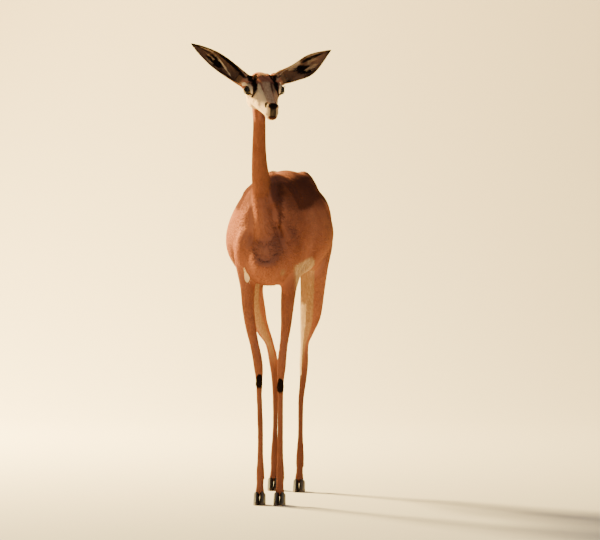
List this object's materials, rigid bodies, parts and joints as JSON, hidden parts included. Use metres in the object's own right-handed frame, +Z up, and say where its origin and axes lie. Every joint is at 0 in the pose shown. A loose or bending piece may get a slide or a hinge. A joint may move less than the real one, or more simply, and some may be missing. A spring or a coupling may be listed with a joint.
{
  "type": "gerenuk",
  "caption": "Life-size still model of a standing hornless female gerenuk: slender upright neck, wide spread ears, head turned a little to its left, thin straight legs and a tufted tail.",
  "frame": {"origin": "on the floor, under the middle of the model's bounding box", "axes": "+Z up; the animal faces -Y, and its own left side is +X"},
  "size_m": [0.37, 1.015, 1.2783],
  "materials": {
    "coat": "short sleek rufous hair with white, buff and black markings",
    "eye_surface": "wet gloss",
    "hoof_horn": "worn dark horn, satin"
  },
  "bodies": {
    "root": {"head": "coat", "neck": "coat", "torso": "coat", "tail": "coat", "foreleg_left_upper": "coat", "foreleg_left_lower": "coat", "foreleg_right_upper": "coat", "foreleg_right_lower": "coat", "hindleg_left_upper": "coat", "hindleg_left_lower": "coat", "hindleg_right_upper": "coat", "hindleg_right_lower": "coat", "ear_left": "coat", "ear_right": "coat", "eye_left": "eye_surface", "eye_right": "eye_surface", "forehoof_left_inner": "hoof_horn", "forehoof_left_outer": "hoof_horn", "forehoof_right_inner": "hoof_horn", "forehoof_right_outer": "hoof_horn", "hindhoof_left_inner": "hoof_horn", "hindhoof_left_outer": "hoof_horn", "hindhoof_right_inner": "hoof_horn", "hindhoof_right_outer": "hoof_horn"}
  },
  "joints": []
}
